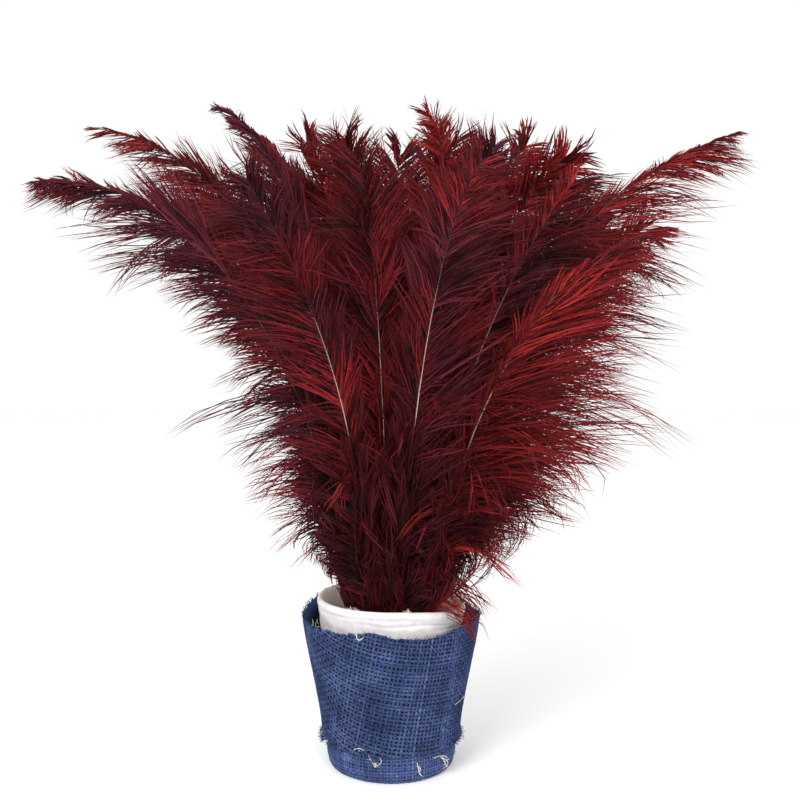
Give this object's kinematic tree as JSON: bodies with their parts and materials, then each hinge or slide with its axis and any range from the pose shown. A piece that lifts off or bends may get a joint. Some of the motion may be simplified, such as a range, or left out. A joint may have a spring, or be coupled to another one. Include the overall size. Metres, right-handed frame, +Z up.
{
  "type": "bunch of ostrich feathers in a vase",
  "caption": "Burgundy-dyed ostrich plumes fanned out in a round tapered vase with a white cotton lining and a navy burlap wrap; stands free as an ornament.",
  "frame": {"origin": "the middle of the vase's underside, on the surface it stands on", "axes": "+Z up the vase's axis, the front of the bunch faces -Y, +X to the right as seen from the front"},
  "size_m": [0.4353, 0.2665, 0.4219],
  "materials": {
    "navy_burlap": "plain open jute weave, dyed navy, matt",
    "navy_base_burlap": "finer fuzzy jute cloth, dyed navy, matt",
    "white_cotton": "soft white cotton, matt",
    "feather_wine": "dyed ostrich barbs, dark wine, soft sheen",
    "feather_crimson": "dyed ostrich barbs, crimson, soft sheen",
    "feather_brick": "dyed ostrich barbs, brick red, soft sheen",
    "feather_plum": "dyed ostrich barbs, dark plum, soft sheen"
  },
  "bodies": {
    "root": {"burlap_base": "navy_base_burlap", "burlap_sleeve": "navy_burlap", "liner": "white_cotton", "feather_01": "feather_wine", "feather_02": "feather_wine", "feather_03": "feather_crimson", "feather_04": "feather_plum", "feather_05": "feather_wine", "feather_06": "feather_wine", "feather_07": "feather_plum", "feather_08": "feather_crimson", "feather_09": "feather_crimson", "feather_10": "feather_brick", "feather_11": "feather_brick", "feather_12": "feather_plum", "feather_13": "feather_crimson", "feather_14": "feather_wine", "feather_15": "feather_crimson", "feather_16": "feather_wine", "feather_17": "feather_crimson", "feather_18": "feather_plum", "feather_19": "feather_wine", "feather_20": "feather_crimson", "feather_21": "feather_wine", "feather_22": "feather_crimson", "feather_23": "feather_wine", "feather_24": "feather_wine", "feather_25": "feather_wine", "feather_26": "feather_plum", "feather_27": "feather_wine"}
  },
  "joints": []
}
